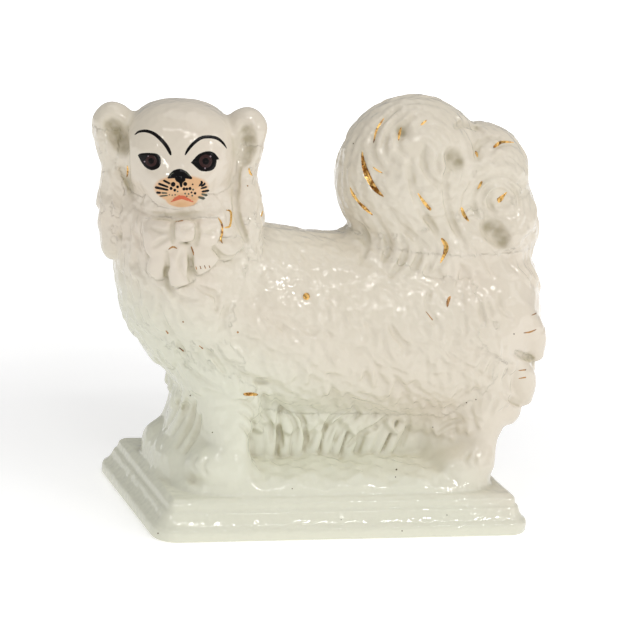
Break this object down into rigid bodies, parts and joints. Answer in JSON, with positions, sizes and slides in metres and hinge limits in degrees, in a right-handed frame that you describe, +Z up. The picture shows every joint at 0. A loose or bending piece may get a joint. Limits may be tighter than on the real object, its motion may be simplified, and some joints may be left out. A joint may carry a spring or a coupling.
{
  "type": "staffordshire spaniel figure",
  "caption": "Glazed earthenware spaniel with a plumed tail curled over its back and a bow at its neck, face turned to the viewer, standing on a stepped rectangular plinth.",
  "frame": {"origin": "the middle of the plinth's underside", "axes": "+X from the head end to the tail end, -Y the side that the face turns to, +Z up"},
  "size_m": [0.2368, 0.106, 0.2061],
  "materials": {
    "glazed_earthenware": "glossy ivory lead glaze with worn gilt strokes and an enamelled face"
  },
  "bodies": {
    "root": {"spaniel_figure": "glazed_earthenware"}
  },
  "joints": []
}
